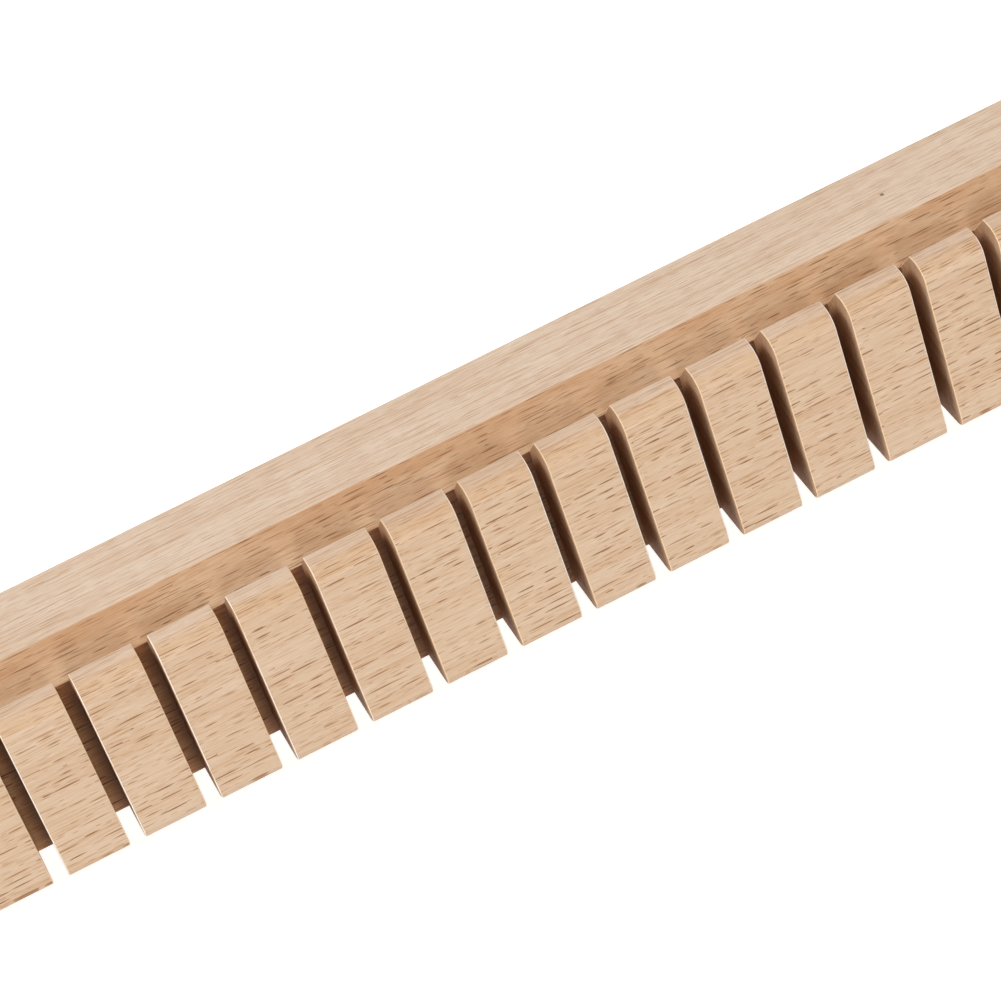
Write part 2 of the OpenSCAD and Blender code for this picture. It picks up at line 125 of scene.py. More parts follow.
class Number:
    """A number on a shader socket: sums with it add the Math nodes that they need."""

    def __init__(self, shader, socket):
        self.shader = shader
        self.socket = socket

    def math(self, operation, *others, clamp=False):
        settings = {"operation": operation, "use_clamp": clamp}
        made = self.shader.node("ShaderNodeMath", settings, dict(enumerate((self, *others))))
        return Number(self.shader, made.outputs[0])

    def __add__(self, other):
        return self.math("ADD", other)

    def __mul__(self, other):
        return self.math("MULTIPLY", other)

    def __sub__(self, other):
        return self.math("SUBTRACT", other)

    def __rsub__(self, other):
        return (self * -1.0) + other

    def __truediv__(self, other):
        return self.math("DIVIDE", other)

    def __abs__(self):
        return self.math("ABSOLUTE")

    __radd__ = __add__
    __rmul__ = __mul__

    def over(self, limit):
        """1 where the number is over the limit, else 0."""
        return self.math("GREATER_THAN", limit)

    def fraction(self):
        """What is left of the number above the whole number below it."""
        return self.math("FRACT")

    def most(self, other):
        """The larger of the two numbers."""
        return self.math("MAXIMUM", other)

    def clamp(self):
        """The number, held between 0 and 1."""
        return self.math("MULTIPLY", 1.0, clamp=True)

    def rise(self, start, stop):
        """0 below start and 1 above stop, with a smooth rise between them."""
        settings = {"interpolation_type": "SMOOTHSTEP"}
        sockets = {"Value": self, "From Min": start, "From Max": stop}
        made = self.shader.node("ShaderNodeMapRange", settings, sockets)
        return Number(self.shader, made.outputs[0])


class Shader:
    """The node tree of a material or of the world."""

    def __init__(self, owner):
        owner.use_nodes = True
        self.owner = owner
        self.tree = owner.node_tree
        self.tree.nodes.clear()

    def node(self, kind, settings=None, sockets=None):
        """Adds a node: its settings are set first, then the values or links of its sockets."""
        made = self.tree.nodes.new(kind)
        for name, value in (settings or {}).items():
            setattr(made, name, value)
        for name, value in (sockets or {}).items():
            self.feed(made.inputs[name], value)
        return made

    def feed(self, socket, value):
        if isinstance(value, Number):
            value = value.socket
        if isinstance(value, bpy.types.NodeSocket):
            self.tree.links.new(value, socket)
        else:
            socket.default_value = value

    def number(self, socket):
        return Number(self, socket)

    def split(self, vector):
        made = self.node("ShaderNodeSeparateXYZ", None, {0: vector})
        return [self.number(out) for out in made.outputs]

    def vector(self, operation, *values):
        made = self.node("ShaderNodeVectorMath", {"operation": operation}, dict(enumerate(values)))
        return made.outputs[0]

    def distance(self, place, other):
        made = self.node("ShaderNodeVectorMath", {"operation": "DISTANCE"}, {0: place, 1: other})
        return self.number(made.outputs["Value"])

    def noise(self, place, stretch, detail=2.0, roughness=0.5):
        """Noise about 0.5, drawn out to the given lengths along the three directions."""
        scaled = self.vector("DIVIDE", place, stretch)
        sockets = {"Vector": scaled, "Scale": 1.0, "Detail": detail, "Roughness": roughness}
        return self.number(self.node("ShaderNodeTexNoise", None, sockets).outputs[0])

    def mix(self, share, first, second):
        """A mix of two colours; share is how much of the second shows."""
        made = self.node("ShaderNodeMix", {"data_type": "RGBA"})
        self.feed(made.inputs["Factor"], share)
        for socket, colour in zip((made.inputs[6], made.inputs[7]), (first, second)):
            self.feed(socket, colour if isinstance(colour, bpy.types.NodeSocket) else (*colour, 1.0))
        return made.outputs[2]

    def bump(self, height, strength, distance):
        sockets = {"Strength": strength, "Distance": distance, "Height": height}
        return self.node("ShaderNodeBump", None, sockets).outputs[0]

    def white_rays(self):
        """1 for the rays that should meet a white background, else 0."""
        path = self.node("ShaderNodeLightPath")
        seen = self.number(path.outputs["Is Camera Ray"])
        return seen.most(path.outputs["Is Glossy Ray"]).most(path.outputs["Is Transmission Ray"])

    def finish(self, kind, surface):
        self.node(kind, None, {"Surface": surface})
        return self.owner


def material(name):
    return Shader(bpy.data.materials.new(name))


# Wood

GRAIN_TURNS = {"x": (0.0, 0.0, 0.0), "y": (0.0, 0.0, math.radians(-90.0))}

BEECH = (0.720, 0.530, 0.372)
# Paler wood on faces that look up: partly a planed face, partly a painted sheen
BEECH_PLANED_TOP_AND_SHEEN = (0.733, 0.588, 0.472)
BEECH_END = (0.590, 0.400, 0.265)
# Painted highlights on the saw cuts' arrises
WHITE_ARRIS_HIGHLIGHT = (1.000, 0.940, 0.860)
WARM_ARRIS_HIGHLIGHT = (0.980, 0.690, 0.430)
# Dark of the flecks and the knot, also mixed in as a beam's painted shade
FLECK_AND_PAINTED_SHADE = (0.100, 0.080, 0.060)

# Each kind of fleck: the cell that holds one, its length and width, how many cells do, and a seed
FLECKS = ((3.4, 0.44, 9.0), 4.0, 0.10, 0.46, 3.1)
SMALL_FLECKS = ((1.9, 0.26, 5.0), 2.2, 0.07, 0.55, 8.7)
GROOVE_FLECKS = ((4.2, 0.62, 9.0), 3.6, 0.19, 0.40, 5.3)
PIN_KNOT_R = 0.12
PIN_KNOT_FADE = 0.34


def wood_places(s, along, turn, shift):
    """A spot in millimetres with the grain along X, its place in the wood, and its face's direction.

    The place in the wood is (along the grain, across the rays, along the rays), in millimetres.
    """
    source = s.node("ShaderNodeTexCoord")
    grain_turn = GRAIN_TURNS[along]
    spot = s.node("ShaderNodeMapping", None, {
        "Vector": source.outputs["Object"],
        "Rotation": grain_turn,
        "Scale": (1 / MM, 1 / MM, 1 / MM),
    }).outputs[0]
    place = s.node("ShaderNodeMapping", None, {
        "Vector": spot,
        "Location": shift,
        "Rotation": (math.radians(turn), 0.0, 0.0),
    }).outputs[0]
    facing = s.node("ShaderNodeMapping", {"vector_type": "NORMAL"}, {
        "Vector": source.outputs["Normal"],
        "Rotation": grain_turn,
    }).outputs[0]
    return spot, place, s.split(facing)


def ray_flecks(s, place, cell, length, width, share, seed):
    """Thin dashes along the grain, tapered at both ends, at most one in each cell.

    A dash is about as long as length and as wide as width, and share is how many cells hold one.
    """
    seeded = s.vector("ADD", s.vector("DIVIDE", place, cell), (seed, seed * 1.7, seed * 2.3))
    sockets = {"Vector": seeded, "Scale": 1.0, "Randomness": 0.85}
    cells = s.node("ShaderNodeTexVoronoi", {"feature": "F1"}, sockets)
    away = s.split(s.vector("SUBTRACT", seeded, cells.outputs["Position"]))
    chance, strength, stretch = s.split(cells.outputs["Color"])
    along = away[0] * (2 * cell[0] / length) / (stretch * 0.9 + 0.45)
    across = abs(away[1]) * (2 * cell[1] / width)
    lens = 1.0 - along * along - across
    return (lens * 1.6).clamp() * chance.over(1.0 - share) * (strength * 0.75 + 0.25)


def beech(name, along="x", turn=-22.5, deeper=0.0, shift=(0.0, 0.0, 0.0), planed_and_sheen=0.3, beam=None, knot=None):
    """Planed beech with its short dark ray flecks, fine streaks and pored end grain.

    The grain runs along X or Y, and turn sets how the rays lie about it. Darker parts are the plain
    colour raised to a power, as thicker wood would be, and deeper sets the whole piece's tone.
    How much paler the faces that look up are is set per piece: partly a planed face, partly a
    painted sheen. beam is a toothed beam's front face and the middle of its groove along Y; it adds
    painted shade in the crest, groove and saw cuts and painted highlights on the cuts' arrises.
    knot is the place of a pin knot.
    """
    s = material(name)
    spot, place, facing = wood_places(s, along, turn, shift)
    waver = s.noise(place, (45.0, 9.0, 9.0), 1.0)
    drift = s.node("ShaderNodeCombineXYZ", None, {1: (waver - 0.5) * 0.7, 2: (waver - 0.5) * 0.9})
    bent = s.vector("ADD", place, drift.outputs[0])
    clouds = s.noise(bent, (38.0, 2.6, 2.6), 2.0)
    bands = s.noise(bent, (26.0, 0.9, 0.9), 2.0)
    streaks = s.noise(bent, (8.0, 0.2, 0.2), 2.0, 0.6)
    fibres = s.noise(bent, (2.0, 0.1, 0.1), 2.0, 0.65)
    flecks = ray_flecks(s, place, *FLECKS)
    small_flecks = ray_flecks(s, place, *SMALL_FLECKS)

    end = abs(facing[0]).rise(0.80, 0.97)
    up = facing[2].rise(0.80, 0.98)
    top = up * planed_and_sheen
    lines = bands.rise(0.45, 0.75) * 0.14 + streaks.rise(0.48, 0.75) * (top * 0.3 + 0.46)
    lines = lines - fibres.rise(0.5, 0.8) * 0.40
    marks = (flecks * 1.7 + small_flecks * 0.7) * (1.0 - top * 0.4)
    shade = marks * (1.0 - end) * 0.24
    long_grain = lines + marks + clouds.rise(0.32, 0.68) * 0.14
    depth = long_grain * (1.0 - end) + end_grain(s, place) * end
    # Faces that look up are paler: partly a planed face, partly a painted sheen
    tone = s.mix(top * 0.6, BEECH, BEECH_PLANED_TOP_AND_SHEEN)
    tone = s.mix(end, tone, BEECH_END)
    if beam:
        front = abs(facing[1]).rise(0.80, 0.95)
        slant = abs(facing[1]).rise(0.2, 0.6) * facing[2].rise(0.2, 0.6)
        faces = (end, front, up, slant)
        # The beam's painted shade in its crest, groove and saw cuts, with its groove's own flecks
        cut_painted_depth_and_flecks, cut_painted_shade_and_flecks = cut_flecks_and_painted_shade(s, spot, faces, place, lines + marks, *beam)
        depth = depth + cut_painted_depth_and_flecks
        shade = shade + cut_painted_shade_and_flecks
    if knot:
        pin = 1.0 - s.distance(spot, knot).rise(PIN_KNOT_R, PIN_KNOT_FADE)
        depth = depth + pin
        shade = (shade + pin * 0.75).clamp()
    tone = s.node("ShaderNodeGamma", None, {"Color": tone, "Gamma": depth + (1.0 + deeper)}).outputs[0]
    # Mixes in the dark of the flecks and the knot, and a beam's painted shade
    tone = s.mix(shade, tone, FLECK_AND_PAINTED_SHADE)
    # Painted highlights on the saw cuts' arrises
    if beam:
        tone = arris_highlights(s, tone, spot, facing[0], place)

    height = fibres * 0.5 + streaks * 0.4 - flecks * 0.7
    surface = s.node("ShaderNodeBsdfPrincipled", None, {
        "Base Color": tone,
        "Roughness": streaks * 0.1 + 0.55,
        "Specular IOR Level": 0.25,
        "Normal": s.bump(height, 0.3, 0.00008),
    })
    return s.finish("ShaderNodeOutputMaterial", surface.outputs[0])


def end_grain(s, place):
    """The depth of colour across the grain: faint rings, thin rays and fine dark pores."""
    rings = s.noise(place, (300.0, 13.0, 1.3), 2.0)
    rays = s.noise(place, (300.0, 0.16, 6.0), 1.0)
    pores = s.noise(place, (60.0, 0.13, 0.13), 1.0)
    return rings.rise(0.4, 0.7) * 0.30 - rays.rise(0.55, 0.75) * 0.25 + pores.rise(0.55, 0.75) * 0.7


def cut_flecks_and_painted_shade(s, spot, faces, detail, marks, face_y, groove_y):
    """Painted shade in a beam's crest, groove and saw cuts, with the groove wall's own flecks: what they
    add to the depth and to the shade.

    faces are how far a spot looks along the row, to the front, up, and up to the front at a slant.
    """
    end, front, up, slant = faces
    x, y, z = s.split(spot)
    inside = abs(y - face_y)
    half_groove = GROOVE_WIDTH / 2
    groove = 1.0 - abs(y - groove_y).rise(half_groove - 0.15, half_groove + 0.05)
    # Painted shade: the crest's rounding and flat, near the front face, darkened by how they face the light
    crest = (slant * 0.2 + up * 0.18) * (1.0 - inside.rise(CREST + 0.1, CREST + 0.4))

    patches = s.noise(detail, (14.0, 3.0, 3.0), 2.0)
    bold = ray_flecks(s, detail, *GROOVE_FLECKS)
    # The groove wall: its own patches and bold flecks, fewer fine marks, and an even painted shade for the
    # crest's shadow on it
    groove_wall_flecks_and_shade = patches.rise(0.35, 0.65) * 0.30 + bold * 1.1 - marks * 0.20 + 0.20
    # Painted shade: the groove wall darker towards its top edge
    groove_wall_flecks_and_shade = groove_wall_flecks_and_shade + z.rise(BEAM_TOP - GROOVE_DEPTH, BEAM_TOP - 0.5) * 0.20

    cut = (1.0 - inside.rise(9.0, 10.0)) * (1.0 - abs(x).rise(ROW_END, ROW_END + 1.0))
    # Painted shade on the saw cuts' floors: darker all over, more towards each cut's right wall and near
    # its top, over the wood's own marks
    across = (x / TOOTH_PITCH).fraction().rise(0.41, 0.60)
    floor = front * inside.rise(1.0, 2.0) * cut
    floor_marks_and_painted_shade = marks + across * 0.8 + z.rise(BEAM_TOP - 14.0, BEAM_TOP - 5.0) * 0.5 + 1.05
    # Painted shade on the saw cuts' sides: darker deeper into the cut, less near the top
    sides = end * inside.rise(0.8, 4.5) * cut
    side_painted_shade = 0.7 - z.rise(BEAM_TOP - 9.0, BEAM_TOP) * 0.5

    depth = groove * slant * groove_wall_flecks_and_shade + crest * (1.0 - groove) + floor * floor_marks_and_painted_shade + sides * side_painted_shade
    # The shade: the groove wall's own bold flecks, painted shade on all slanted faces, and painted shade
    # towards each saw cut's right wall
    return depth, slant * (groove * bold * 0.50 + 0.07) + floor * across * 0.52


def arris_highlights(s, tone, spot, facing_x, detail):
    """Painted highlights on the arrises along the saw cuts: a soft warm one on all, and a white one, broken
    up by noise, whitest on a tooth's side away from the beam's middle.
    """
    x = s.split(spot)[0]
    arris = abs(facing_x).rise(0.25, 0.4) * (1.0 - abs(facing_x).rise(0.86, 0.95))
    arris = arris * (1.0 - abs(x).rise(ROW_END + 2.0, ROW_END + 4.0))
    right = facing_x.over(0.0)
    highlit_side = right * x.rise(-30.0, 5.0) + (1.0 - right) * (0.85 - x.rise(-40.0, -10.0) * 0.85)
    highlight_breaks = s.noise(detail, (6.0, 2.2, 2.2), 2.0).rise(0.3, 0.5)
    tone = s.mix(arris * 0.7, tone, WARM_ARRIS_HIGHLIGHT)
    return s.mix(arris * highlit_side * highlight_breaks, tone, WHITE_ARRIS_HIGHLIGHT)


def zinc_steel():
    """Bright zinc plating, a little cloudy, with the fine grain of a tumbled blank."""
    s = material("zinc_steel_finish")
    place = s.node("ShaderNodeTexCoord").outputs["Object"]
    grain = s.noise(place, (0.0009, 0.0009, 0.0009), 3.0)
    clouds = s.noise(place, (0.006, 0.006, 0.006), 2.0)
    tone = s.mix(clouds.rise(0.3, 0.7), (0.40, 0.405, 0.42), (0.52, 0.52, 0.515))
    surface = s.node("ShaderNodeBsdfPrincipled", None, {
        "Base Color": tone,
        "Metallic": 1.0,
        "Roughness": grain * 0.12 + clouds * 0.1 + 0.25,
        "Normal": s.bump(grain, 0.12, 0.00005),
    })
    return s.finish("ShaderNodeOutputMaterial", surface.outputs[0])


def black_rubber():
    """Matt moulded rubber with a fine grain and a little dust."""
    s = material("black_rubber_finish")
    place = s.node("ShaderNodeTexCoord").outputs["Object"]
    grain = s.noise(place, (0.0005, 0.0005, 0.0005), 2.0)
    dust = s.noise(place, (0.004, 0.004, 0.004), 3.0)
    tone = s.mix(dust.rise(0.45, 0.75) * 0.5, (0.02, 0.02, 0.021), (0.07, 0.066, 0.062))
    surface = s.node("ShaderNodeBsdfPrincipled", None, {
        "Base Color": tone,
        "Roughness": dust * 0.2 + 0.55,
        "Normal": s.bump(grain, 0.3, 0.0001),
    })
    return s.finish("ShaderNodeOutputMaterial", surface.outputs[0])


# Shapes

def select_none():
    bpy.ops.object.select_all(action="DESELECT")


def pick(*pieces):
    """Selects the pieces in object mode, the first of them active."""
    select_none()
    for piece in pieces:
        piece.select_set(True)
    bpy.context.view_layer.objects.active = pieces[0]


def outline(name, points):
    """A chain of edges through (x, z) points in the X-Z plane, left open in edit mode."""
    select_none()
    bpy.ops.mesh.primitive_plane_add(size=MM, location=(0.0, 0.0, 0.0), enter_editmode=True)
    bpy.context.object.name = name
    bpy.ops.mesh.select_mode(type="VERT")
    bpy.ops.mesh.select_all(action="SELECT")
    bpy.ops.mesh.merge(type="CENTER")
    here = Vector((0.0, 0.0, 0.0))
    for count, (x, z) in enumerate(points):
        there = Vector((x, 0.0, z)) * MM
        if count == 0:
            bpy.ops.transform.translate(value=there - here)
        else:
            bpy.ops.mesh.extrude_region_move(TRANSFORM_OT_translate={"value": there - here})
        here = there


def arc(cx, cz, radius, start, end, steps=6):
    """Points on an arc from one angle to another, in degrees."""
    angles = [math.radians(start + (end - start) * k / steps) for k in range(steps + 1)]
    return [(cx + radius * math.cos(a), cz + radius * math.sin(a)) for a in angles]


def softened(points, radius, steps=3):
    """The outline with its inner corners rounded, less where a side is short."""
    made = [points[0]]
    for before, corner, after in zip(points, points[1:], points[2:]):
        corner = Vector(corner)
        back = Vector(before) - corner
        ahead = Vector(after) - corner
        if math.degrees(back.angle(ahead)) > 160:
            made.append(tuple(corner))
            continue
        reach = min(radius, back.length * 0.45, ahead.length * 0.45)
        start = corner + back.normalized() * reach
        end = corner + ahead.normalized() * reach
        for k in range(steps + 1):
            t = k / steps
            point = start * (1 - t) ** 2 + corner * 2 * t * (1 - t) + end * t ** 2
            made.append(tuple(point))
    made.append(points[-1])
    return made


def close_up():
    """Merges what meets, turns the faces outwards and leaves edit mode."""
    bpy.ops.mesh.select_all(action="SELECT")
    bpy.ops.mesh.remove_doubles(threshold=0.000002)
    bpy.ops.mesh.normals_make_consistent(inside=False)
    bpy.ops.object.mode_set(mode="OBJECT")


def smooth(piece, angle=32.0):
    pick(piece)
    bpy.ops.object.shade_smooth_by_angle(angle=math.radians(angle))
    return piece


def turned(name, points, sides=64):
    """A piece turned about Z from an outline of (radius, height) points."""
    outline(name, points)
    bpy.ops.mesh.select_all(action="SELECT")
    bpy.ops.mesh.spin(steps=sides, angle=math.tau, center=(0.0, 0.0, 0.0), axis=(0.0, 0.0, 1.0))
    close_up()
    return smooth(bpy.context.object)


def block(name, size, place=(0.0, 0.0, 0.0)):
    """A box of the given size about a place, in object mode."""
    select_none()
    bpy.ops.mesh.primitive_cube_add(size=1.0, location=Vector(place) * MM, scale=Vector(size) * MM)
    bpy.ops.object.transform_apply(location=True, rotation=True, scale=True)
    bpy.context.object.name = name
    return bpy.context.object


def plate(name, points, thickness):
    """A flat piece of the given thickness about the X-Z plane, from its outline."""
    outline(name, points)
    bpy.ops.mesh.select_all(action="SELECT")
    bpy.ops.mesh.edge_face_add()
    bpy.ops.transform.translate(value=(0.0, -thickness / 2 * MM, 0.0))
    bpy.ops.mesh.extrude_region_move(TRANSFORM_OT_translate={"value": (0.0, thickness * MM, 0.0)})
    close_up()
    return bpy.context.object


def rod(name, radius, length, sides, place=(0.0, 0.0, 0.0), turns=(0.0, 0.0, 0.0)):
    """A prism or a bar about a place, along Z unless it is turned."""
    select_none()
    angles = [math.radians(turn) for turn in turns]
    bpy.ops.mesh.primitive_cylinder_add(vertices=sides, radius=radius * MM, depth=length * MM,
                                        location=Vector(place) * MM, rotation=angles)
    bpy.ops.object.transform_apply(location=True, rotation=True, scale=True)
    bpy.context.object.name = name
    return bpy.context.object


def shaped(piece, kind, **settings):
    """Adds a modifier to a piece and applies it."""
    pick(piece)
    made = piece.modifiers.new(kind, kind)
    for name, value in settings.items():
        setattr(made, name, value)
    bpy.ops.object.modifier_apply(modifier=made.name)
    return piece


def join_solid(piece, other, operation):
    """Adds another solid to a piece, or takes it away, and deletes the other."""
    shaped(piece, "BOOLEAN", operation=operation, solver="EXACT", object=other)
    bpy.data.objects.remove(other)
    return smooth(piece)


def merged(piece, *others):
    """One piece from several that touch or run into each other."""
    pick(piece, *others)
    bpy.ops.object.join()
    return piece


# Turns of a part about X, Y and Z, in degrees, on the right of the loom
UPRIGHT = (0.0, 0.0, 0.0)
OUTWARD = (0.0, 90.0, 0.0)
INWARD = (0.0, -90.0, 0.0)
UPSIDE_DOWN = (180.0, 0.0, 0.0)


def both_sides(x, ys, z, turns=UPRIGHT):
    """Spots for a part at each y, on the left and the right; the turns are those on the right."""
    tip, lean, spin = turns
    return [((side * x, y, z), (tip, side * lean, spin)) for y in ys for side in SIDES.values()]


def placed(name, part, spots):
    """Copies of a part at spots, each a place and its turns, joined into one piece."""
    copies = []
    for place, turns in spots:
        copy = part.copy()
        copy.data = part.data.copy()
        bpy.context.scene.collection.objects.link(copy)
        copy.location = Vector(place) * MM
        copy.rotation_euler = [math.radians(t) for t in turns]
        copies.append(copy)
    pick(*copies)
    bpy.ops.object.transform_apply(location=True, rotation=True, scale=True)
    if len(copies) > 1:
        bpy.ops.object.join()
    made = bpy.context.object
    made.name = name
    return made


def stand_in(piece, node, finish):
    """The piece stands for a node: it rides on its body and takes its finish, and the node is hidden."""
    piece.data.materials.clear()
    piece.data.materials.append(finish)
    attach(piece, body_of[node])
    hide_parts(node)
    return piece


def flat_normals(mesh, angle=50.0):
    """Gives each corner the mean normal of the faces about it that face nearly the same way.

    Each face counts by its area, so flat faces stay flat up to their eased edges.
    """
    about = [[] for _ in mesh.vertices]
    for face in mesh.polygons:
        for vertex in face.vertices:
            about[vertex].append(face)
    least = math.cos(math.radians(angle))
    normals = []
    for face in mesh.polygons:
        for vertex in face.vertices:
            alike = [other for other in about[vertex] if other.normal.dot(face.normal) > least]
            normals.append(sum((other.normal * other.area for other in alike), Vector()).normalized())
    mesh.normals_split_custom_set(normals)


def eased(node, width, saw_width, finish):
    """A copy of a wooden node with its outer edges eased, and its saw cuts eased less."""
    source = frame["nodes"][node]
    piece = source.copy()
    piece.data = source.data.copy()
    piece.parent = None
    for key in list(piece.keys()):
        del piece[key]
    bpy.context.scene.collection.objects.link(piece)
    piece.name = node + "_wood"
    pick(piece)
    bpy.ops.mesh.customdata_custom_splitnormals_clear()
    bpy.ops.object.mode_set(mode="EDIT")
    bpy.ops.mesh.select_all(action="SELECT")
    bpy.ops.mesh.remove_doubles(threshold=0.000001)
    bpy.ops.mesh.dissolve_limited(angle_limit=math.radians(0.4))
    shape = bmesh.from_edit_mesh(piece.data)
    weight = shape.edges.layers.float.new("bevel_weight_edge")
    ends = [max(v.co.x for v in shape.verts), min(v.co.x for v in shape.verts)]
    # Edges of faces across the piece are a saw cut's or a notch's, unless they lie at an end
    for edge in shape.edges:
        if len(edge.link_faces) == 2 and edge.is_convex and edge.calc_face_angle() > math.radians(30):
            middle_x = (edge.verts[0].co.x + edge.verts[1].co.x) / 2
            inner = all(abs(middle_x - end) > MM for end in ends)
            cross = any(abs(face.normal.x) > 0.99 for face in edge.link_faces)
            edge[weight] = saw_width / width if inner and cross and saw_width else 1.0
    bmesh.update_edit_mesh(piece.data)
    bpy.ops.object.mode_set(mode="OBJECT")
    bevel = piece.modifiers.new("eased edges", "BEVEL")
    bevel.limit_method = "WEIGHT"
    bevel.width = width * MM
    bevel.segments = 2
    bevel.use_clamp_overlap = False
    bpy.ops.object.modifier_apply(modifier=bevel.name)
    bpy.ops.object.shade_smooth()
    flat_normals(piece.data)
    return stand_in(piece, node, finish)


# Turned pieces of beech

KNOB_R = 16.0
KNOB_ROUND = 5.5
KNOB_BAND = 2.0
KNOB_COLLAR_R = 12.0
KNOB_COLLAR = 3.0
KNOB_NECK_R = 10.0
KNOB_BORE_R = 8.05
KNOB_BORE_LENGTH = 12.0
KNOB_SINK_R = 3.65
KNOB_SINK = 3.2
SCREW_BORE_R = 1.85


def cross_bar():
    """The stand's round bar along Z, its ends eased."""
    radius = span("stand_cross_bar").z / 2
    half = span("stand_cross_bar").x / 2
    points = [(0.0, -half), (radius, -half), (radius, half), (0.0, half)]
    return turned("cross_bar", softened(points, 0.9))


def heddle_knob():
    """A turned knob standing on its collar, with the bar's bore below and a screw's sink above."""
    length = span("right_heddle_knob").x
    sink_z = length - KNOB_SINK
    round_r = KNOB_R - KNOB_ROUND
    round_z = length - KNOB_ROUND
    points = [(SCREW_BORE_R, KNOB_BORE_LENGTH), (KNOB_BORE_R, KNOB_BORE_LENGTH), (KNOB_BORE_R, 0.0),
              (KNOB_COLLAR_R, 0.0), (KNOB_COLLAR_R, KNOB_COLLAR), (KNOB_NECK_R, 2 * KNOB_COLLAR)]
    points += arc(round_r, round_z - KNOB_BAND, KNOB_ROUND, -45.0, 0.0)
    points += arc(round_r, round_z, KNOB_ROUND, 0.0, 90.0, 10)
    points += [(KNOB_SINK_R, length), (KNOB_SINK_R, sink_z), (SCREW_BORE_R, sink_z)]
    return turned("knob", softened(points, 0.6) + [points[0]])


# Fasteners, each standing with the face that bears on the work at z = 0

BOLT_R = 3.0
BOLT_HEAD_R = 8.0
BOLT_HEAD_H = 3.6
NECK_WIDTH = 6.0
NECK_LENGTH = 4.0
THREAD_PITCH = 1.0
THREAD_LENGTH = 26.0
THREAD_CREST = 2.98
THREAD_ROOT = 2.45
THREAD_STEPS = 24
WASHER_R = 5.5
WASHER_HOLE_R = 3.2
WASHER_T = 1.6
NUT_HOLE_R = 3.15
NUT_BASE_R = 6.0
NUT_BASE_H = 8.0
WING_T = 2.6
WING_TIP_R = 5.3
WING_ROOT_R = 4.0
WING_ROOT_LOW = 1.6
WING_ROOT_HIGH = 7.6
RUB_GAP = 0.1
PIVOT_BOLT_LENGTH = 74.5
STRETCHER_BOLT_LENGTH = 70.0
CAP_R = 7.5
CAP_H = 2.0
SOCKET_R = 2.3
SOCKET_DEPTH = 1.4
BARREL_R = 5.0
POST_SCREW_HEAD_R = 4.2
POST_SCREW_R = 2.2
POST_SCREW_SET = 14.0
FOOT_R = 10.0
FOOT_TREAD_R = 9.2
FOOT_SINK_R = 5.0
FOOT_HOLE_R = 2.3
FOOT_SEAT = 5.0


def thread(name, start, end):
    """A right-hand thread about Z between two heights, cut flat at both."""
    tooth = [(THREAD_ROOT, 0.0), (THREAD_CREST, 0.42), (THREAD_CREST, 0.55), (THREAD_ROOT, 0.97),
             (THREAD_ROOT, 1.0)]
    outline(name, [(r, start + (rise - 1.0) * THREAD_PITCH) for r, rise in tooth])
    bpy.ops.object.mode_set(mode="OBJECT")
    piece = bpy.context.object
    turns = math.ceil((end - start) / THREAD_PITCH) + 2
    shaped(piece, "SCREW", axis="Z", screw_offset=THREAD_PITCH * MM, iterations=turns,
           steps=THREAD_STEPS, render_steps=THREAD_STEPS)
    bpy.ops.object.mode_set(mode="EDIT")
    bpy.ops.mesh.select_all(action="SELECT")
    bpy.ops.mesh.remove_doubles(threshold=0.000001)
    for height, keep_below in ((start, False), (end, True)):
        bpy.ops.mesh.select_all(action="SELECT")
        bpy.ops.mesh.bisect(plane_co=(0.0, 0.0, height * MM), plane_no=(0.0, 0.0, 1.0), use_fill=True,
                            clear_outer=keep_below, clear_inner=not keep_below)
    close_up()
    return smooth(piece, angle=40.0)


def carriage_bolt(length):
    """A bolt with a domed head below z = 0, a square neck and a threaded end."""
    ball_r = (BOLT_HEAD_R ** 2 + BOLT_HEAD_H ** 2) / (2 * BOLT_HEAD_H)
    ball_z = ball_r - BOLT_HEAD_H
    rim = -math.degrees(math.asin(ball_z / ball_r))
    start = length - THREAD_LENGTH
    points = arc(0.0, ball_z, ball_r, -90.0, rim, 12)
    points += [(BOLT_R, 0.0), (BOLT_R, start), (THREAD_ROOT, start + 0.5), (THREAD_ROOT, length - 0.5),
               (THREAD_ROOT - 0.5, length), (0.0, length)]
    shank = turned("carriage_bolt", softened(points, 0.35))
    neck = block("neck", (NECK_WIDTH, NECK_WIDTH, NECK_LENGTH), (0.0, 0.0, NECK_LENGTH / 2))
    shaped(neck, "BEVEL", width=0.3 * MM, segments=2)
    return merged(shank, smooth(neck), thread("thread", start + 0.1, length - 0.7))


def washer():
    points = [(WASHER_R - 1.0, 0.0), (WASHER_R, 0.0), (WASHER_R, WASHER_T), (WASHER_HOLE_R, WASHER_T),
              (WASHER_HOLE_R, 0.0), (WASHER_R - 1.0, 0.0)]
    return turned("washer", softened(points, 0.3))


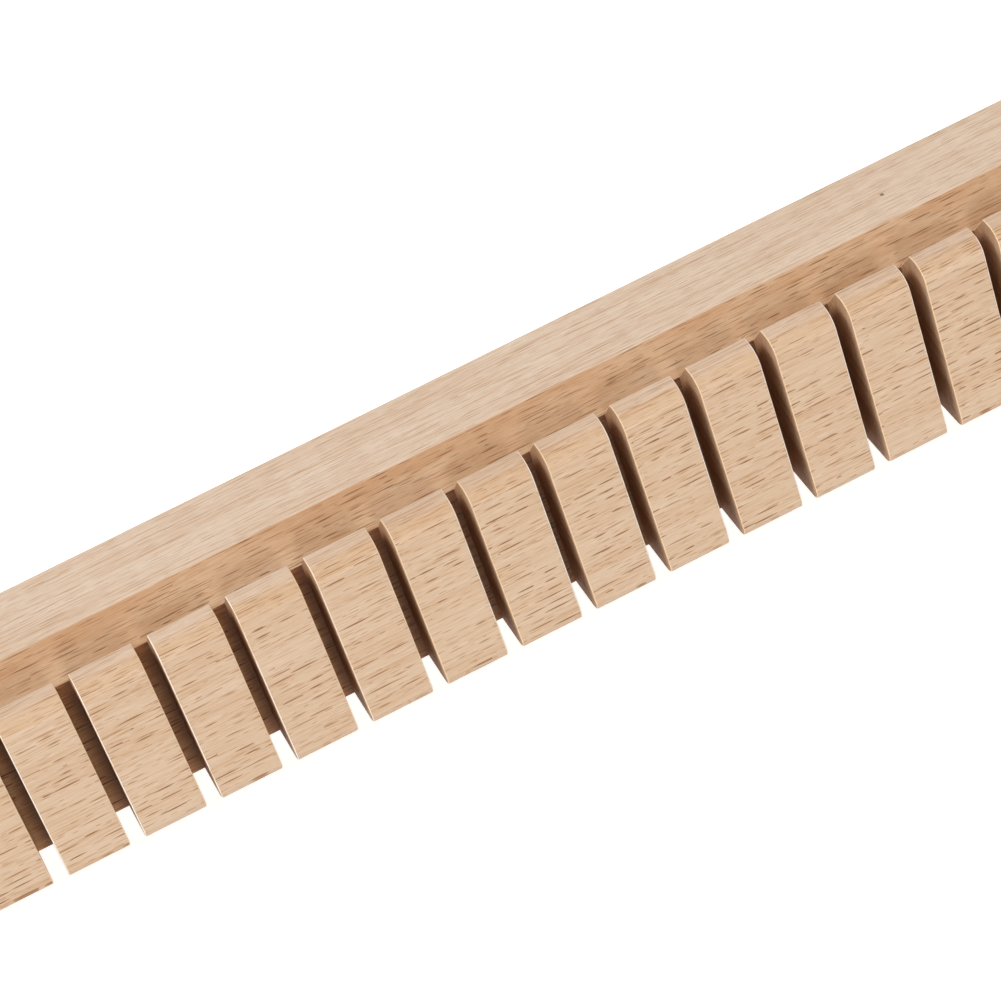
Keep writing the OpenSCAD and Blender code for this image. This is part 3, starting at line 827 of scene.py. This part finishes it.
def wing_nut():
    """A cast wing nut with its wings along X and soft hollows where they leave the base."""
    points = [(4.5, 0.0), (NUT_BASE_R, 0.0), (NUT_BASE_R - 1.0, NUT_BASE_H), (NUT_HOLE_R, NUT_BASE_H),
              (NUT_HOLE_R, 0.0), (4.5, 0.0)]
    nut = turned("wing_nut", softened(points, 0.4))
    tip_x = span("front_left_wing_nut").x / 2 - WING_TIP_R
    tip_z = span("front_left_wing_nut").z - WING_TIP_R
    tip = arc(tip_x, tip_z, WING_TIP_R, -50.0, 150.0, 16)
    wing = [(WING_ROOT_R, WING_ROOT_LOW), *tip, (WING_ROOT_R, WING_ROOT_HIGH)]
    for side in SIDES.values():
        join_solid(nut, plate("wing", [(side * x, z) for x, z in wing], WING_T), "UNION")
    shaped(nut, "REMESH", mode="VOXEL", voxel_size=0.36 * MM)
    shaped(nut, "SMOOTH", factor=0.5, iterations=7)
    pick(nut)
    bpy.ops.object.shade_smooth()
    return nut


def stretcher_bolt():
    """A furniture bolt with a flat cap above z = 0 and a six-sided socket in it."""
    points = [(0.0, -STRETCHER_BOLT_LENGTH), (BOLT_R, -STRETCHER_BOLT_LENGTH), (BOLT_R, 0.0), (CAP_R, 0.0),
              (CAP_R, CAP_H - 0.6), (CAP_R - 0.8, CAP_H), (0.0, CAP_H)]
    bolt = turned("stretcher_bolt", softened(points, 0.4))
    corner_r = SOCKET_R / math.cos(math.radians(30.0))
    socket = rod("socket", corner_r, 2 * SOCKET_DEPTH, 6, (0.0, 0.0, CAP_H))
    return join_solid(bolt, socket, "DIFFERENCE")


def barrel_nut():
    """A cross dowel about the middle of its bore, with a driver's slot in its lower end."""
    half = span("barrel_nuts").z / 2
    points = [(0.0, -half), (BARREL_R, -half), (BARREL_R, half), (0.0, half)]
    nut = turned("barrel_nut", softened(points, 0.6))
    join_solid(nut, rod("bore", BOLT_R + 0.05, 4 * BARREL_R, 32, turns=(0.0, 90.0, 0.0)), "DIFFERENCE")
    return join_solid(nut, block("slot", (4 * BARREL_R, 1.3, 2.4), (0.0, 0.0, -half)), "DIFFERENCE")


def cross_recess(screw, reach, depth, face_z):
    """Cuts a driver's cross into the face of a screw's head."""
    for size in ((reach, 0.9, 2 * depth), (0.9, reach, 2 * depth)):
        join_solid(screw, block("driver", size, (0.0, 0.0, face_z)), "DIFFERENCE")
    return screw


def countersunk_screw():
    """A wood screw standing on the flat face of its head."""
    length = span("heddle_post_screws").z
    points = [(0.0, 0.0), (POST_SCREW_HEAD_R, 0.0), (POST_SCREW_HEAD_R, 0.3), (POST_SCREW_R, 2.6),
              (POST_SCREW_R, length - 4.0), (0.0, length)]
    return cross_recess(turned("post_screw", softened(points, 0.15)), 4.6, 1.5, 0.0)


def pan_screw(name, head_r, head_h, shaft_r, length):
    """A pan-headed wood screw: its head above z = 0 and its shaft below."""
    points = [(0.0, -length), (shaft_r, 4.0 - length), (shaft_r, 0.0), (head_r, 0.0)]
    points += arc(head_r - head_h * 0.8, head_h * 0.2, head_h * 0.8, 0.0, 90.0, 8)[1:] + [(0.0, head_h)]
    return cross_recess(turned(name, softened(points, 0.1)), head_r * 1.1, head_h * 0.6, head_h)


def rubber_foot():
    """A round foot with a sink for its screw and a moulded line about its side."""
    height = span("rubber_feet").z
    points = [(7.0, 0.0), (FOOT_TREAD_R, 0.0), (9.62, height * 0.55), (9.35, height * 0.58),
              (9.68, height * 0.63), (FOOT_R, height), (FOOT_HOLE_R, height), (FOOT_HOLE_R, FOOT_SEAT),
              (FOOT_SINK_R, FOOT_SEAT), (FOOT_SINK_R, 0.0), (7.0, 0.0)]
    return turned("foot", softened(points, 0.7))


# Stage and lights

def table_top():
    """A wide pale table that keeps the loom's shadow and shows white to the camera."""
    bpy.ops.mesh.primitive_plane_add(size=12.0, location=(0.0, 0.0, 0.0))
    top = bpy.context.object
    top.name = "table_top"
    s = material("table_white")
    cloth = s.node("ShaderNodeBsdfDiffuse", None, {"Color": (0.8, 0.8, 0.8, 1.0)})
    glow = s.node("ShaderNodeEmission", None, {"Strength": s.white_rays() * 0.75})
    both = s.node("ShaderNodeAddShader", None, {0: cloth.outputs[0], 1: glow.outputs[0]})
    top.data.materials.append(s.finish("ShaderNodeOutputMaterial", both.outputs[0]))


def studio_sky():
    world = bpy.data.worlds.new("studio")
    s = Shader(world)
    plain = (1.0, 1.0, 1.0, 1.0)
    soft = s.node("ShaderNodeBackground", None, {"Color": plain, "Strength": 0.40})
    white = s.node("ShaderNodeBackground", None, {"Color": plain, "Strength": 1.0})
    lights = {0: s.white_rays(), 1: soft.outputs[0], 2: white.outputs[0]}
    choice = s.node("ShaderNodeMixShader", None, lights)
    s.finish("ShaderNodeOutputWorld", choice.outputs[0])
    bpy.context.scene.world = world


def softbox(name, place, aim, size, watts):
    bpy.ops.object.light_add(type="AREA", location=place)
    made = bpy.context.object
    made.name = name
    made.data.size = size
    made.data.energy = watts
    made.rotation_mode = "QUATERNION"
    made.rotation_quaternion = (Vector(aim) - Vector(place)).to_track_quat("-Z", "Y")


camera()

# Finishes of the metal, the feet and the turned wood
zinc = zinc_steel()
rubber = black_rubber()
round_beech = beech("turned_beech", "x", 15.0, 0.05, shift=(11.0, 23.0, 31.0), planed_and_sheen=0.0)

# Sawn wood: each piece's grain, the turn of its rays, its depth of colour, and the widths of its
# eased outer edges and saw cuts
WOOD = {
    "front_beam": ("x", -22.5, 0.0, 0.30, 0.20),
    "back_beam": ("x", 22.5, 0.06, 0.30, 0.20),
    "front_stretcher": ("x", 40.0, 0.12, 0.8, 0.0),
    "rear_stretcher": ("x", 70.0, 0.02, 0.8, 0.0),
    "heddle_bar": ("x", 35.0, -0.04, 0.4, 0.3),
    "left_rail": ("y", 20.0, 0.08, 1.0, 0.0),
    "right_rail": ("y", 65.0, 0.0, 1.0, 0.0),
    "left_heddle_post": ("y", 30.0, 0.03, 0.8, 0.0),
    "right_heddle_post": ("y", 60.0, 0.14, 0.8, 0.0),
    "left_stand_leg": ("y", 25.0, 0.0, 0.9, 0.0),
    "right_stand_leg": ("y", 50.0, 0.10, 0.9, 0.0),
}
BEAM_FACES = {
    "front_beam": (low("front_beam").y, low("front_beam").y + CREST + GROOVE_WIDTH / 2),
    "back_beam": (high("back_beam").y, high("back_beam").y - CREST - GROOVE_WIDTH / 2),
}
PIN_KNOTS = {"front_beam": (59.1, -333.5, BEAM_TOP)}
for count, (node, (along, turn, deeper, width, saw_width)) in enumerate(WOOD.items()):
    shift = (count * 37.0, count * 11.0, count * 5.0)
    # The beams' tops are palest; the paleness is partly a planed face, partly a painted sheen
    planed_and_sheen = 1.0 if node in BEAM_FACES else 0.3
    extras = (planed_and_sheen, BEAM_FACES.get(node), PIN_KNOTS.get(node))
    finish = beech(node + "_beech", along, turn, deeper, shift, *extras)
    eased(node, width, saw_width, finish)

masters = {
    "bar": cross_bar(),
    "knob": heddle_knob(),
    "beam bolt": carriage_bolt(span("front_beam_bolts").z - BOLT_HEAD_H),
    "pivot bolt": carriage_bolt(PIVOT_BOLT_LENGTH),
    "washer": washer(),
    "nut": wing_nut(),
    "stretcher bolt": stretcher_bolt(),
    "barrel": barrel_nut(),
    "post screw": countersunk_screw(),
    "knob screw": pan_screw("knob_screw", head_r=3.6, head_h=2.2, shaft_r=1.8, length=24.0),
    "foot screw": pan_screw("foot_screw", head_r=3.9, head_h=2.4, shaft_r=2.0, length=12.0),
    "foot": rubber_foot(),
}

# Turned wood
bar = placed("cross_bar_wood", masters["bar"], [(middle("stand_cross_bar"), OUTWARD)])
stand_in(bar, "stand_cross_bar", round_beech)
for side_name, side in SIDES.items():
    node = side_name + "_heddle_knob"
    inner = low(node).x if side > 0 else high(node).x
    knob = placed(node + "_wood", masters["knob"], [((inner, HEDDLE.y, HEDDLE.z), (0.0, 90.0 * side, 0.0))])
    stand_in(knob, node, round_beech)

# Clamps of the beams
for beam in ("front", "back"):
    bolts = beam + "_beam_bolts"
    washers = beam + "_beam_washers"
    y = middle(washers).y
    spots = both_sides(RAIL_X, [y], low(bolts).z + BOLT_HEAD_H)
    stand_in(placed(bolts + "_steel", masters["beam bolt"], spots), bolts, zinc)
    spots = both_sides(RAIL_X, [y], low(washers).z)
    stand_in(placed(washers + "_steel", masters["washer"], spots), washers, zinc)
    for side_name, side in SIDES.items():
        node = beam + "_" + side_name + "_wing_nut"
        spots = [((side * RAIL_X, y, low(node).z), UPRIGHT)]
        stand_in(placed(node + "_steel", masters["nut"], spots), node, zinc)

# Pivots of the stand, each nut turned inwards with its wings along the leg
pivot = middle("stand_pivot_bolts")
spots = both_sides(RAIL_OUT, [pivot.y], pivot.z, INWARD)
stand_in(placed("pivot_bolts_steel", masters["pivot bolt"], spots), "stand_pivot_bolts", zinc)
outer_washer_x = high("right_stand_leg").x + RUB_GAP
inner_washer_x = low("right_stand_leg").x - RUB_GAP - WASHER_T
spots = both_sides(outer_washer_x, [pivot.y], pivot.z, OUTWARD)
spots += both_sides(inner_washer_x, [pivot.y], pivot.z, OUTWARD)
stand_in(placed("stand_washers_steel", masters["washer"], spots), "stand_washers", zinc)
for side_name, side in SIDES.items():
    node = side_name + "_stand_wing_nut"
    face = high(node).x if side > 0 else low(node).x
    spots = [((face, pivot.y, pivot.z), (90.0, 0.0, -90.0 * side))]
    stand_in(placed(node + "_steel", masters["nut"], spots), node, zinc)

# Bolts of the stretchers
stretcher_ys = [middle("front_stretcher").y, middle("rear_stretcher").y]
spots = both_sides(RAIL_OUT, stretcher_ys, RAIL_Z, OUTWARD)
stand_in(placed("stretcher_bolts_steel", masters["stretcher bolt"], spots), "stretcher_bolts", zinc)
spots = both_sides(high("barrel_nuts").x - BARREL_R, stretcher_ys, RAIL_Z)
stand_in(placed("barrel_nuts_steel", masters["barrel"], spots), "barrel_nuts", zinc)

# Screws of the heddle bar's posts and knobs
spots = both_sides(RAIL_X, [HEDDLE.y - POST_SCREW_SET, HEDDLE.y + POST_SCREW_SET], RAIL_FOOT)
stand_in(placed("post_screws_steel", masters["post screw"], spots), "heddle_post_screws", zinc)
spots = both_sides(high("right_heddle_knob").x - KNOB_SINK, [HEDDLE.y], HEDDLE.z, OUTWARD)
stand_in(placed("knob_screws_steel", masters["knob screw"], spots), "heddle_knob_screws", zinc)

# Feet
foot_ys = [low("rubber_feet").y + FOOT_R, high("rubber_feet").y - FOOT_R]
spots = both_sides(RAIL_X, foot_ys, 0.0)
stand_in(placed("feet_rubber", masters["foot"], spots), "rubber_feet", rubber)
spots = both_sides(RAIL_X, foot_ys, FOOT_SEAT, UPSIDE_DOWN)
stand_in(placed("foot_screws_steel", masters["foot screw"], spots), "foot_screws", zinc)

for part in masters.values():
    bpy.data.objects.remove(part)

# The room
table_top()
studio_sky()
softbox("left_softbox", (-1.05, -0.75, 1.50), (0.0, -0.25, 0.03), size=0.5, watts=21.4)
softbox("front_softbox", (0.0, -1.90, 0.42), (0.0, -0.2, 0.03), size=0.5, watts=5.7)
softbox("right_softbox", (1.60, -1.05, 0.60), (0.0, -0.2, 0.03), size=0.6, watts=5.0)
softbox("back_softbox", (0.35, 1.95, 0.55), (0.0, 0.2, 0.03), size=0.6, watts=8.0)
bpy.context.scene.view_settings.view_transform = "Standard"
